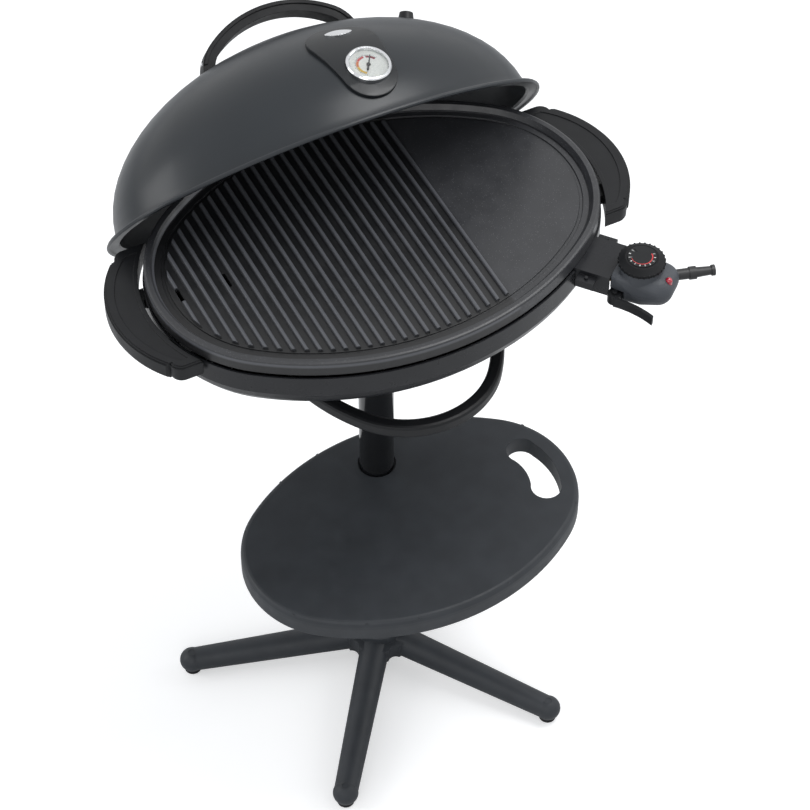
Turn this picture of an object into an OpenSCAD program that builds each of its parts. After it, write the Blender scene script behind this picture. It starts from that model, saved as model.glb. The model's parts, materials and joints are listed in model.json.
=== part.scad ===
// Oval electric grill on a column stand, with a shelf and a lift-off lid.
// Millimetres. +Z is up, +X runs along the plate, -Y is the cook's side.
// The origin is on the floor, on the axis of the column.

/* [Base] */
// Number of legs
leg_count = 5; // [3:1:6]
// Radius from the column axis to the middle of a foot
foot_reach = 250; // [180:5:320]
// Leg radius at the hub
leg_root_r = 20; // [12:1:24]
// Leg radius at the foot
leg_tip_r = 15.5; // [9:1:20]
// Height of the leg's centre line at the hub
leg_root_z = 36; // [28:1:50]
// Height of the leg's centre line at the foot
leg_tip_z = 20; // [17:1:30]
// Height of the hub's top
hub_top = 66; // [56:1:90]
// Radius of the round foot knuckle
knuckle_r = 16.5; // [12:0.5:22]
// Radius of a foot pad
pad_r = 11; // [7:0.5:14]

/* [Column] */
// Outer radius of the column tubes
tube_r = 21.5; // [15:0.5:28]
// Wall of the column tubes
tube_wall = 1.6; // [1:0.1:3]
// Radial clearance of a tube in a socket
tube_clear = 0.06; // [0.02:0.01:0.1]

/* [Shelf] */
// Half length of the shelf
shelf_a = 211; // [160:1:260]
// Half depth of the shelf
shelf_b = 144; // [110:1:180]
// How far the shelf's middle lies in front of the column
shelf_front = 95; // [60:1:110]
// Height of the shelf's top
shelf_top = 383; // [250:1:500]
// Height of the shelf's rim
shelf_depth = 28; // [18:1:40]
// Wall of the shelf moulding
shelf_wall = 3.2; // [2:0.1:5]
// Radius of the shelf's hole for the column
shelf_hole_r = 23.6; // [18:0.1:32]

/* [Head] */
// Half length of the grill plate
plate_a = 270; // [220:1:320]
// Half width of the grill plate
plate_b = 193.4; // [150:0.1:230]
// Height of the plate's rim
plate_top = 800; // [650:1:950]
// Height of the plate's skirt
skirt_h = 18; // [10:1:26]
// Gap between the plate's skirt and the bowl
plate_gap = 4; // [2:0.5:8]
// How far the bowl's rim stands out past the plate
bowl_out = 2; // [0:0.5:6]
// Depth of the bowl
bowl_depth = 78; // [60:1:100]
// Wall of the bowl
bowl_wall = 2.5; // [1.5:0.1:4]
// Pitch of the plate's ribs
rib_pitch = 13; // [9:0.5:20]
// Height of the plate's ribs
rib_h = 4; // [2:0.5:6]

/* [Handles] */
// Reach of the side handles from the column axis
handle_a = 318; // [300:1:350]
// Radius of the side handles' outer edge
handle_r = 130; // [110:1:150]
// Top of the side handles
handle_top = 785; // [640:1:940]
// Thickness of the side handles
handle_h = 24; // [16:1:34]
// Gap between the plate and the side handles
handle_gap = 7; // [4:0.5:12]

/* [Table ring] */
// Half width of the ring that carries the head on a table
ring_a = 139; // [110:1:160]
// Half depth of the ring
ring_b = 192; // [170:1:220]
// Radial width of the ring's section
ring_w = 16; // [9:0.5:18]
// Height of the ring's section
ring_h = 18; // [10:0.5:22]
// Height of the ring's underside
ring_z = 645; // [500:1:800]

/* [Lid] */
// Half length of the dome
dome_a = 259; // [220:1:300]
// Half width of the dome
dome_b = 190; // [160:1:220]
// Height of the dome
dome_h = 164; // [120:1:200]
// Width of the lid's flared lip
lip_w = 14; // [8:0.5:20]
// Wall of the lid
lid_wall = 2; // [1.2:0.1:3]
// How far the parked lid leans back
lid_lean = 57.6; // [50:0.1:62]
// Distance of the parked lid's seat line behind the column
lid_seat_y = 125.5; // [122:0.5:132]
// Height of the parked lid's seat line
lid_seat_z = 777.4; // [620:0.1:940]
// Half width of the lid's arch handle
arch_a = 99; // [80:1:120]
// Rise of the arch handle above its feet
arch_b = 66; // [50:1:80]
// Thickness of the arch handle
arch_t = 14; // [10:0.5:20]
// Width of the arch handle
arch_w = 24; // [16:1:30]

/* [Thermostat] */
// Direction of the socket around the head, in degrees
socket_turn = -50; // [-70:1:-30]
// Sideways offset of the socket's centre line
socket_off = 74; // [60:1:80]
// Distance from the column axis to the guard's mouth
socket_reach = 268; // [255:1:280]
// Width of the socket guard
guard_w = 56; // [48:1:64]
// Radius of the temperature knob's skirt
knob_r = 26.5; // [20:0.5:30]
// Radius of the dark disc on the knob
knob_disc_r = 16.5; // [12:0.5:20]
// Distance from the guard's mouth to the knob's axis
knob_s = 27; // [24:0.5:34]
// Half width of the thermostat
plug_half_w = 30; // [26:0.5:34]
// Length of the thermostat's body
plug_len = 78; // [70:1:90]

/* [Hidden] */
$fn = 48;

// Clearances and small sizes that several pieces share
fit = 0.3;
touch = 0.05;
screw_r = 2;
head_r = 4;

black = "#2b2d31";
satin = "#3b4045";
steel = "#c8ccd0";

// Heights that follow from the plate
skirt_z = plate_top - skirt_h;
bowl_top = skirt_z - plate_gap;
bowl_z = bowl_top - bowl_depth;
bowl_floor = bowl_z + bowl_wall;
cook_z = plate_top - 8;
plate_under = cook_z - 5;
dish_h = 8;
dish_z = bowl_z - dish_h;

// Feet and hub
leg_rise = atan2(leg_root_z - leg_tip_z, foot_reach);
leg_len = norm([foot_reach, leg_root_z - leg_tip_z]);
crotch_r = 10;
crotch_at = (leg_root_r + crotch_r) / sin(180 / leg_count);
web_r = norm([(leg_root_r + crotch_r) / tan(180 / leg_count), leg_root_r]);
pad_h = 6;
hub_r = tube_r + 13;
hub_floor = 20;

// Column
splice_z = shelf_top - 34;
tube_top = dish_z - 1;
socket_z = bowl_z - 52;
socket_wall = 6;

// An oval of four tangent arcs. Their centres and joints lie on 3-4-5 triangles, which keeps the arcs exactly tangent.
function oval_t(a, b) = (a - b) / 2;
function end_r(a, b) = b - oval_t(a, b);
function side_r(a, b) = end_r(a, b) + 5 * oval_t(a, b);
joint_turn = atan2(4, 3);
// Half width of the oval, moved out by off, at a distance x along it
function oval_y(a, b, off, x) =
    let (t = oval_t(a, b), r = end_r(a, b) + off)
    abs(x) > 3 * t + 0.6 * r
        ? sqrt(max(0, pow(r, 2) - pow(abs(x) - 3 * t, 2)))
        : sqrt(pow(side_r(a, b) + off, 2) - x * x) - 4 * t;
// A point of the oval at angle u around its four arcs
function oval_pt(a, b, turn) =
    let (t = oval_t(a, b), k = joint_turn, r = end_r(a, b), u = (turn + 360) % 360)
    u <= k || u >= 360 - k ? [3 * t + r * cos(u), r * sin(u)]
    : u < 180 - k ? [side_r(a, b) * cos(u), side_r(a, b) * sin(u) - 4 * t]
    : u <= 180 + k ? [-3 * t + r * cos(u), r * sin(u)]
    : [side_r(a, b) * cos(u), side_r(a, b) * sin(u) + 4 * t];

// The sector of the plane that belongs to one end arc, and to one side arc
module end_sector(t, s) { polygon([[s * 3 * t, 0], [s * 21 * t, 24 * t], [s * 21 * t, -24 * t]]); }
module side_sector(t, s) { polygon([[-3 * t, 0], [3 * t, 0], [18 * t, s * 20 * t], [-18 * t, s * 20 * t]]); }

// The filled outline of an oval, moved out by off
module oval(a, b, off = 0) {
    t = oval_t(a, b);
    for (s = [-1, 1]) {
        intersection() {
            translate([s * 3 * t, 0]) circle(end_r(a, b) + off, $fn = 96);
            end_sector(t, s);
        }
        intersection() {
            translate([0, -s * 4 * t]) circle(side_r(a, b) + off, $fn = 192);
            side_sector(t, s);
        }
    }
}

module oval_prism(a, b, off, z, h) {
    translate([0, 0, z]) linear_extrude(h) oval(a, b, off);
}

// Carries a profile, drawn as [distance out, height], once round an oval
module oval_sweep(a, b) {
    t = oval_t(a, b);
    for (s = [-1, 1]) {
        intersection() {
            translate([s * 3 * t, 0, 0]) rotate_extrude($fn = 96) translate([end_r(a, b), 0]) children();
            translate([0, 0, -2000]) linear_extrude(4000) end_sector(t, s);
        }
        intersection() {
            translate([0, -s * 4 * t, 0]) rotate_extrude($fn = 192) translate([side_r(a, b), 0]) children();
            translate([0, 0, -2000]) linear_extrude(4000) side_sector(t, s);
        }
    }
}

// The same for the plate's family of ovals
module plate_sweep() { oval_sweep(plate_a, plate_b) children(); }
module plate_prism(off, z, h) { oval_prism(plate_a, plate_b, off, z, h); }

// A box with round long edges, along Z
module post(x, y, z, r) {
    linear_extrude(z) {
        square([x - 2 * r, y], center = true);
        square([x, y - 2 * r], center = true);
        for (i = [-1, 1], j = [-1, 1]) translate([i * (x / 2 - r), j * (y / 2 - r)]) circle(r);
    }
}

// A pan-head screw whose head lies on z = 0 and whose shank points up
module screw(len) {
    translate([0, 0, -2.4]) difference() {
        cylinder(h = 2.4, r = head_r);
        translate([0, 0, -1]) cylinder(h = 2.2, r = 1.5, $fn = 6);
    }
    cylinder(h = len, r = screw_r);
}

module at_legs() { for (i = [0:leg_count - 1]) rotate(90 + i * 360 / leg_count) children(); }
module on_leg() { translate([0, 0, leg_root_z]) rotate([0, 90 + leg_rise, 0]) children(); }

// ---- stand ----

module leg() {
    difference() {
        union() {
            on_leg() cylinder(h = leg_len, r1 = leg_root_r, r2 = leg_tip_r);
            translate([foot_reach, 0, leg_tip_z]) sphere(knuckle_r);
        }
        // The underside is open, as on a moulded star
        translate([0, 0, -leg_root_r / 2 - 1]) on_leg() translate([0, 0, hub_r + 8])
            cylinder(h = leg_len - hub_r - 34, r1 = leg_root_r - 4.5, r2 = leg_tip_r - 4);
        translate([foot_reach, 0, -20]) cylinder(h = 20 + pad_h - 2, r = knuckle_r + 4);
        translate([foot_reach, 0, 0]) cylinder(h = pad_h + 2, r = pad_r + touch);
        translate([foot_reach, 0, leg_tip_z + knuckle_r - 1.2]) cylinder(h = 4, r = 4.5);
    }
}

module foot_star() color(satin) difference() {
    union() {
        at_legs() leg();
        translate([0, 0, leg_root_z - 12]) linear_extrude(24) difference() {
            circle(web_r);
            at_legs() rotate(180 / leg_count) translate([crotch_at, 0]) circle(crotch_r);
        }
        translate([0, 0, 16]) cylinder(h = hub_top - 22, r = hub_r);
        translate([0, 0, hub_top - 6]) cylinder(h = 6, r1 = hub_r, r2 = hub_r - 6);
    }
    translate([0, 0, hub_floor]) cylinder(h = hub_top, r = tube_r + tube_clear);
    translate([0, 0, 5]) cylinder(h = 30, r = 4.2);
    translate([0, 0, 5]) cylinder(h = 11, r = 12);
}

module foot_pads() color("#1c1c1e") at_legs() translate([foot_reach, 0, 0]) {
    cylinder(h = 1.5, r1 = pad_r - 1.5, r2 = pad_r);
    translate([0, 0, 1.5]) cylinder(h = pad_h + 0.5, r = pad_r);
}

module column_bolt() color(steel) {
    translate([0, 0, 11]) cylinder(h = 5, r = 7.5, $fn = 6);
    translate([0, 0, 16 - touch]) cylinder(h = 30, r = 4);
}

module lower_tube() color("#101113") difference() {
    translate([0, 0, hub_floor]) cylinder(h = splice_z - hub_floor, r = tube_r);
    translate([0, 0, hub_floor + 20]) cylinder(h = splice_z, r = tube_r - tube_wall);
    translate([0, 0, hub_floor - 1]) cylinder(h = 27, r = 4);
}

// The upper tube is drawn in at its foot, and plugs into the lower one
module upper_tube() color("#101113") difference() {
    union() {
        translate([0, 0, splice_z]) cylinder(h = tube_top - splice_z, r = tube_r);
        translate([0, 0, splice_z - 40]) cylinder(h = 41, r = tube_r - tube_wall - tube_clear);
    }
    translate([0, 0, splice_z - 41]) cylinder(h = tube_top, r = tube_r - 2 * tube_wall - tube_clear);
}

bracket_top = shelf_top - shelf_wall;
bracket_reach = shelf_front + 55;
bracket_bores = [[-26, -(shelf_front - 30)], [26, -(shelf_front - 30)], [0, -bracket_reach + 14]];

// The arm that clamps round the column and carries the shelf
module shelf_bracket() color(satin) difference() {
    union() {
        translate([0, 0, splice_z - 18]) cylinder(h = bracket_top - splice_z + 18, r = tube_r + 7);
        translate([0, 0, bracket_top - 4]) linear_extrude(4) {
            circle(tube_r + 14);
            polygon([[-34, 0], [34, 0], [38, -shelf_front + 20], [14, -bracket_reach], [-14, -bracket_reach],
                [-38, -shelf_front + 20]]);
        }
        for (s = [-1, 1]) translate([s * 16 - 2, -bracket_reach + 12, 0]) rotate([90, 0, 90]) linear_extrude(4)
            polygon([[0, bracket_top - 10], [bracket_reach - 24, splice_z - 12], [bracket_reach - 24, bracket_top - 2],
                [0, bracket_top - 2]]);
        translate([0, tube_r + 4, splice_z - 2]) post(16, 12, 18, 3);
    }
    translate([0, 0, splice_z - 19]) cylinder(h = 80, r = tube_r + tube_clear);
    for (p = bracket_bores) translate([p[0], p[1], bracket_top - 12]) cylinder(h = 20, r = screw_r + 0.2);
    translate([0, tube_r - 2, splice_z + 7]) rotate([-90, 0, 0]) cylinder(h = 30, r = screw_r + touch);
}

// The set screw that holds the bracket on the column
module bracket_screws() color(steel) translate([0, tube_r + 10 + touch, splice_z + 7]) rotate([90, 0, 0])
    screw(10 - touch);

// The hand hole's outline, grown by the given amount
slot_in = 58;
slot_out = 95;
slot_spread = 25;
slot_swell = 0.4;

module shelf_slot(grow) translate([3 * oval_t(shelf_a, shelf_b), 0]) {
    intersection() {
        difference() {
            circle(slot_out + grow);
            circle(slot_in - grow);
        }
        polygon([[0, 0], [200, -200 * tan(slot_spread)], [200, 200 * tan(slot_spread)]]);
    }
    for (s = [-1, 1]) rotate(s * slot_spread) translate([(slot_in + slot_out) / 2, 0])
        circle((slot_out - slot_in) / 2 + grow + slot_swell);
}

shelf_edge = 6.4;
shelf_low = shelf_top - shelf_depth;

module shelf() color(satin) difference() {
    translate([0, -shelf_front, 0]) difference() {
        union() {
            difference() {
                oval_prism(shelf_a, shelf_b, shelf_edge, shelf_low, shelf_depth);
                oval_prism(shelf_a, shelf_b, shelf_edge - shelf_wall, shelf_low - 1, shelf_depth - shelf_wall + 1);
                // Rounded rim
                oval_sweep(shelf_a, shelf_b) polygon([[-0.3, shelf_top + 0.1], [2.6, shelf_top - 0.8],
                    [4.7, shelf_top - 3], [6, shelf_top - 6.5], [shelf_edge + 0.1, shelf_top - 12],
                    [shelf_edge + 2, shelf_top - 12], [shelf_edge + 2, shelf_top + 2], [-0.3, shelf_top + 2]]);
            }
            translate([0, 0, shelf_low + 3]) linear_extrude(shelf_depth - 4) shelf_slot(shelf_wall);
            // Stiffening ribs under the top
            translate([0, 0, shelf_top - 12]) linear_extrude(12 - shelf_wall / 2) difference() {
                intersection() {
                    oval(shelf_a, shelf_b, shelf_edge - shelf_wall / 2);
                    union() {
                        for (x = [-120, -60, 60]) translate([x, 0]) square([2.4, 2 * shelf_b + 20], center = true);
                        for (y = [-70, 70]) translate([0, y]) square([2 * shelf_a, 2.4], center = true);
                    }
                }
                translate([-44, -80]) square([88, 300]);
            }
        }
        translate([0, 0, shelf_low - 1]) linear_extrude(shelf_depth + 2) shelf_slot(0);
    }
    translate([0, 0, shelf_low - 1]) cylinder(h = shelf_depth + 2, r = shelf_hole_r);
    for (p = bracket_bores) translate([p[0], p[1], bracket_top - 1]) cylinder(h = 3, r = screw_r + touch);
}

module shelf_screws() color(steel) for (p = bracket_bores) translate([p[0], p[1], bracket_top - 4 - touch]) screw(5.8);

// ---- head ----

socket_bolts = [for (i = [0:3]) [43 * cos(45 + 90 * i), 43 * sin(45 + 90 * i)]];

module head_socket() color(black) difference() {
    union() {
        translate([0, 0, dish_z - 5]) cylinder(h = 5 - touch, r = 52);
        translate([0, 0, socket_z]) cylinder(h = dish_z - socket_z - 1, r1 = tube_r + socket_wall, r2 = tube_r + socket_wall + 3);
        for (i = [0:3]) rotate(90 * i) translate([0, 2, 0]) rotate([90, 0, 0]) linear_extrude(4)
            polygon([[tube_r + 2, socket_z + 8], [tube_r + 8, socket_z + 8], [50, dish_z - 2], [tube_r + 2, dish_z - 2]]);
    }
    translate([0, 0, socket_z - 1]) cylinder(h = 80, r = tube_r + tube_clear);
    for (p = socket_bolts) translate([p[0], p[1], dish_z - 20]) cylinder(h = 30, r = screw_r + 0.2);
}

module socket_screws() color(steel) for (p = socket_bolts) translate([p[0], p[1], dish_z - 5 - touch]) screw(13);

ring_posts = [for (s = [-1, 1], t = [-1, 1]) [s * (ring_a - ring_w / 2 - 1.4), t * 34]];

// The outside of the bowl, as [distance out from the plate's outline, height]
bowl_skin = [[bowl_out, bowl_top], [bowl_out, bowl_top - 27], [bowl_out - 4, bowl_top - 38],
    [bowl_out - 13, bowl_top - 51], [bowl_out - 26, bowl_top - 63], [bowl_out - 42, bowl_top - 72],
    [bowl_out - 60, bowl_z]];
bowl_foot = bowl_out - 60;

module at_socket(z) { rotate(socket_turn) translate([0, socket_off, z]) children(); }
guard_top = skirt_z - 0.5;
guard_back = socket_reach - 46;
guard_h = 28;
guard_wall = 1.6;

handle_bolts = [for (s = [-1, 1], y = [-42, 42]) [s, y]];

module bowl() color(black) difference() {
    union() {
        plate_sweep() polygon(concat(bowl_skin, [
            [bowl_foot - 1, bowl_z], [bowl_foot - 1, bowl_floor], [bowl_foot + 0.6, bowl_floor],
            [bowl_out - 43.2, bowl_top - 69.8], [bowl_out - 27.6, bowl_top - 61], [bowl_out - 15, bowl_top - 49.4],
            [bowl_out - 6.4, bowl_top - 36.8], [bowl_out - bowl_wall, bowl_top - 26.4], [bowl_out - bowl_wall, bowl_top]]));
        plate_prism(bowl_foot - 0.5, bowl_z, bowl_wall);
        // Raised dish that the socket and the ring are screwed to
        plate_prism(-95, dish_z, dish_h + 0.5);
        for (p = ring_posts) translate([p[0], p[1], dish_z]) cylinder(h = dish_h + 1, r = 9);
    }
    for (p = socket_bolts) translate([p[0], p[1], dish_z - 1]) cylinder(h = 9, r = screw_r + touch);
    for (p = ring_posts) translate([p[0], p[1], dish_z - 1]) cylinder(h = 8, r = screw_r + touch);
    for (x = [-rest_x, rest_x]) translate([x, rest_bolt_y, bowl_z - 1]) cylinder(h = 8, r = screw_r + touch);
    for (h = handle_bolts) translate([h[0] * (plate_a - 20), h[1], handle_top - 16]) rotate([0, h[0] * 90, 0])
        cylinder(h = 40, r = screw_r + touch);
    // Cut-out for the socket guard
    at_socket(guard_top - guard_h - 1) translate([guard_back - 40, -guard_w / 2 - 1, 0]) cube([90, guard_w + 2, 60]);
}

module ring_section() {
    w = ring_w;
    h = ring_h;
    polygon([[-w + 4, 0], [-4, 0], [-1.2, 1.2], [0, 4], [0, h - 4], [-1.2, h - 1.2], [-4, h], [-w + 4, h],
        [-w + 1.2, h - 1.2], [-w, h - 4], [-w, 4], [-w + 1.2, 1.2]]);
}

// The ring that the head stands on when it is used on a table
module table_ring() color(black) difference() {
    union() {
        translate([0, 0, ring_z]) rotate(90) oval_sweep(ring_b, ring_a) ring_section();
        for (p = ring_posts) translate([p[0], p[1], 0]) {
            translate([0, 0, ring_z + ring_h / 2]) cylinder(h = dish_z - ring_z - ring_h / 2 - touch, r1 = 6, r2 = 8);
        }
    }
    for (p = ring_posts) translate([p[0], p[1], ring_z - 1]) {
        cylinder(h = 100, r = screw_r + 0.2);
        cylinder(h = 5, r = head_r + 0.5);
    }
}

module ring_screws() color(steel) for (p = ring_posts) translate([p[0], p[1], ring_z + 4 - touch])
    screw(dish_z - ring_z + 2);

handle_mid = 7;
handle_rear = 108;
handle_front = -88;
handle_corner = 14;

// The crescent's outline, a disc cut off at the front and the back with rounded corners
module handle_outline(off) {
    c = handle_a - handle_r;
    f = handle_front + handle_corner;
    b = handle_rear - handle_corner;
    fx = c + sqrt(pow(handle_r - handle_corner, 2) - pow(f - handle_mid, 2));
    bx = c + sqrt(pow(handle_r - handle_corner, 2) - pow(b - handle_mid, 2));
    intersection() {
        translate([c, handle_mid]) circle(handle_r + off, $fn = 96);
        translate([150, f]) square([300, b - f]);
    }
    translate([fx, f]) circle(handle_corner + off);
    translate([bx, b]) circle(handle_corner + off);
    translate([150, handle_front - off]) square([fx - 150, handle_corner + off]);
    translate([150, b]) square([bx - 150, handle_corner + off]);
}

module side_handle() {
    z0 = handle_top - handle_h;
    inner = handle_gap;
    difference() {
        union() {
            difference() {
                union() {
                    translate([0, 0, z0 + 5]) linear_extrude(handle_h - 8) handle_outline(0);
                    translate([0, 0, z0 + 2]) linear_extrude(handle_h - 3.2) handle_outline(-1.4);
                    translate([0, 0, z0]) linear_extrude(handle_h) handle_outline(-3.4);
                }
                plate_prism(inner, z0 - 1, handle_h + 4);
                // Hollow for the fingers, open below
                translate([0, 0, z0 - 1]) linear_extrude(handle_h - 6) difference() {
                    intersection() {
                        handle_outline(-9);
                        translate([0, handle_front + 22]) square([400, handle_rear - handle_front - 44]);
                    }
                    oval(plate_a, plate_b, inner + 9);
                }
            }
            // Two lugs reach in under the gap and meet the bowl's wall
            for (y = [-42, 42]) difference() {
                translate([plate_a - 60, y - 9, z0]) cube([plate_a - 210 + 10, 18, 14]);
                plate_prism(bowl_out + touch, z0 - 1, 30);
            }
        }
        for (y = [-42, 42]) translate([plate_a - 30, y, handle_top - 16]) rotate([0, 90, 0]) cylinder(h = 44, r = screw_r + touch);
        // Shallow dish in the top
        translate([0, 0, handle_top - 1]) linear_extrude(3) difference() {
            handle_outline(-12);
            oval(plate_a, plate_b, inner + 5);
        }
    }
}

module handle_right() color(black) side_handle();
module handle_left() color(black) mirror([1, 0, 0]) side_handle();

// The screws go in from inside the bowl
module handle_screws() color(steel) for (h = handle_bolts) {
    x = 3 * oval_t(plate_a, plate_b) + sqrt(pow(end_r(plate_a, plate_b) + bowl_out - bowl_wall, 2) - pow(abs(h[1]) + head_r, 2)) - touch;
    translate([h[0] * x, h[1], handle_top - 16]) rotate([0, h[0] * 90, 0]) screw(22);
}

module drip_tray() color("#8d9094") difference() {
    union() {
        plate_prism(-74, bowl_floor + touch, 1.2);
        plate_sweep() polygon([[-75, bowl_floor + touch], [-74, bowl_floor + touch], [-58, bowl_floor + 20],
            [-52, bowl_floor + 20], [-52, bowl_floor + 21.2], [-58.8, bowl_floor + 21.2], [-74.6, bowl_floor + 1.25],
            [-75, bowl_floor + 1.25]]);
    }
    for (p = socket_bolts) translate([p[0], p[1], bowl_floor - 1]) cylinder(h = 3, r = 1);
}

reflector_z = bowl_top - 34;

// Four posts hold the plate clear of the bowl, and carry the reflector
post_at = [for (t = [28, 152, 208, 332]) oval_pt(plate_a - 22, plate_b - 22, t)];

module plate_rests() color("#4a4c50") for (p = post_at) translate([p[0], p[1], 0]) {
    translate([0, 0, bowl_top - 49]) cylinder(h = plate_under - 0.05 - bowl_top + 49, r = 5);
    translate([0, 0, reflector_z - 3]) cylinder(h = 3 - touch, r = 8);
}

module heat_reflector() color("#b9bcc0") difference() {
    union() {
        plate_prism(-40, reflector_z, 0.8);
        plate_sweep() polygon([[-41, reflector_z], [-10, reflector_z], [-8, reflector_z + 7], [-8.8, reflector_z + 7],
            [-10.6, reflector_z + 0.8], [-41, reflector_z + 0.8]]);
    }
    for (p = post_at) translate([p[0], p[1], reflector_z - 1]) cylinder(h = 3, r = 5 + touch);
    for (x = [-240, -181]) translate([x, 5, reflector_z - 1]) post(16, 60, 3, 7);
}

rib_limit = 88;
rib_rows = floor((plate_a - 30 + rib_limit) / rib_pitch);

module grill_plate() color("#26282d") difference() {
    union() {
        difference() {
            plate_prism(0, skirt_z, skirt_h);
            // Hollow above the bowl, inside the skirt
            plate_prism(-3.2, skirt_z - 1, plate_under - skirt_z + 1);
            // Cooking floor below the raised rim
            plate_prism(-12.2, cook_z, 20);
            plate_sweep() polygon([[-13, plate_top + 1], [-12.6, cook_z + 1.6], [-7.9, plate_top + 0.1], [-7.9, plate_top + 1]]);
            // Rounded outer edge
            plate_sweep() polygon([[-3.1, plate_top + 0.1], [-0.9, plate_top - 0.9], [0.1, plate_top - 3.3],
                [1, plate_top - 3.3], [1, plate_top + 1], [-3.1, plate_top + 1]]);
            // Fat groove inside the rim
            plate_sweep() polygon([[-24, cook_z + 1], [-23.2, cook_z - 1.6], [-19.8, cook_z - 1.6], [-19, cook_z + 1]]);
        }
        // Ribs on the grilling side
        intersection() {
            for (i = [0:rib_rows]) translate([rib_limit - i * rib_pitch, plate_b, cook_z - 0.5]) rotate([90, 0, 0])
                linear_extrude(2 * plate_b) polygon([[-3, 0], [3, 0], [1.7, rib_h], [0.8, rib_h + 0.5], [-0.8, rib_h + 0.5],
                    [-1.7, rib_h]]);
            plate_prism(-26, cook_z - 1, rib_h + 3);
        }
    }
    // Slots that let the fat down into the tray
    for (x = [-237, -181]) translate([x, 5, plate_under - 3]) post(5, 22, 20, 2.4);
}

coil_r = 3.2;
coil_z = plate_under - coil_r - touch;
coil_off = -62;
coil_s = 150;
term_y = 12;
term_z = guard_top - 14;
drop_s = 182;
drop_run = 20;
drop_turn = atan2(coil_z - term_z, drop_run);
drop_len = norm([coil_z - term_z, drop_run]);

// A tube that is bent once round the plate's underside, with both ends led to the socket
module heating_element() color("#6f7377") {
    difference() {
        translate([0, 0, coil_z]) plate_sweep() translate([coil_off, 0]) circle(coil_r, $fn = 12);
        at_socket(0) translate([0, -term_y, coil_z - 8]) cube([300, 2 * term_y, 16]);
    }
    // Both ends run out under the plate, and step down to the socket
    at_socket(0) for (y = [-term_y, term_y]) {
        translate([coil_s, y, coil_z]) rotate([0, 90, 0]) cylinder(h = drop_s - coil_s, r = coil_r);
        translate([drop_s, y, coil_z]) rotate([90, 0, 0]) cylinder(h = 2 * coil_r, r = coil_r, center = true);
        translate([drop_s, y, coil_z]) rotate([0, 90 + drop_turn, 0]) cylinder(h = drop_len, r = coil_r);
        translate([drop_s + drop_run, y, term_z]) rotate([90, 0, 0]) cylinder(h = 2 * coil_r, r = coil_r, center = true);
        translate([drop_s + drop_run, y, term_z]) rotate([0, 90, 0])
            cylinder(h = guard_back - 7 - drop_s - drop_run, r = coil_r);
    }
}

clip_at = [for (t = [0, 90, 180, 235]) oval_pt(plate_a + coil_off, plate_b + coil_off, t)];

module element_clips() color(steel) for (p = clip_at) translate([p[0], p[1], 0]) {
    translate([0, 0, coil_z - coil_r - 1.3]) cylinder(h = 1.2, r = 9);
    for (t = [0, 180]) rotate(atan2(p[1], p[0]) + t) translate([6.6, 0, coil_z - coil_r - 1]) cylinder(h = 2 * coil_r + 1 - touch, r = 2);
}

block_z = guard_top - guard_wall - 24;

module terminal_block() color("#e4e0d6") at_socket(0) difference() {
    translate([guard_back + 2, -22, block_z]) cube([10, 44, 24 - fit]);
    for (y = [-term_y, term_y]) translate([guard_back - 5, y, term_z]) rotate([0, 90, 0]) cylinder(h = 30, r = 2.5 + touch);
    translate([guard_back - 5, 0, term_z]) rotate([0, 90, 0]) cylinder(h = 30, r = 4);
}

module terminal_pins() color(steel) at_socket(0) for (y = [-term_y, term_y])
    translate([guard_back - 7 + touch, y, term_z]) rotate([0, 90, 0]) {
        cylinder(h = 52, r = 2.5);
        translate([0, 0, 52]) cylinder(h = 2.5, r1 = 2.5, r2 = 1.2);
    }

ear_s = guard_back + 9;

module socket_guard() color(black) at_socket(0) difference() {
    union() {
        difference() {
            translate([guard_back, -guard_w / 2, guard_top - guard_h]) cube([46 - fit, guard_w, guard_h]);
            translate([guard_back - 1, -guard_w / 2 + guard_wall, guard_top - guard_h - 1])
                cube([60, guard_w - 2 * guard_wall, guard_h - guard_wall + 1]);
        }
        // Bent ears on both sides
        for (s = [-1, 1]) translate([ear_s, s > 0 ? guard_w / 2 - 1 : -guard_w / 2 - 11, guard_top - 8]) cube([22, 12, 2]);
        for (s = [-1, 1]) translate([ear_s, s > 0 ? guard_w / 2 + 9 : -guard_w / 2 - 11, guard_top - 16]) cube([22, 2, 10]);
        // Bottom straps that hold the terminal block
        translate([guard_back, -guard_w / 2, guard_top - guard_h]) cube([16, guard_w, guard_wall]);
    }
    for (s = [-1, 1]) translate([ear_s + 11, s * (guard_w / 2 + 5), guard_top - 12]) cylinder(h = 10, r = screw_r + touch);
}

module guard_screws() color(steel) at_socket(0) for (s = [-1, 1])
    translate([ear_s + 11, s * (guard_w / 2 + 5), guard_top - 8 - touch]) screw(5);

// ---- lid ----

lip_off = lip_w;
lid_rear = dome_b + lip_w;

module lid_pose() { translate([0, lid_seat_y, lid_seat_z]) rotate([-lid_lean, 0, 0]) children(); }

lid_steps = 64;
dome_rows = 16;
function lid_ring(off, z) =
    [for (i = [0:lid_steps - 1]) let (p = oval_pt(dome_a + off, dome_b + off, i * 360 / lid_steps)) [p[0], p[1], z]];
// Rings of a dome shrink towards the middle by an ellipse
function dome_ring(in, f) =
    let (k = sin(f * 90), h = (dome_h - in) * cos(f * 90))
    [for (i = [0:lid_steps - 1])
        let (p = oval_pt(dome_a - in, dome_b - in, i * 360 / lid_steps)) [p[0] * k, p[1] * k, h]];

// A solid through a stack of rings with the same number of points, closed at both ends
module loft(rings) {
    n = len(rings[0]);
    m = len(rings);
    points = [for (r = rings, p = r) p];
    sides = [for (j = [0:m - 2], i = [0:n - 1]) let (a = j * n + i, b = j * n + (i + 1) % n)
        each [[a, b + n, b], [a, a + n, b + n]]];
    polyhedron(points, concat([[for (i = [0:n - 1]) i]], sides, [[for (i = [n - 1:-1:0]) (m - 1) * n + i]]));
}

function dome_row(in, j) = dome_ring(in, 1 - j * (1 - 0.06) / dome_rows);

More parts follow.
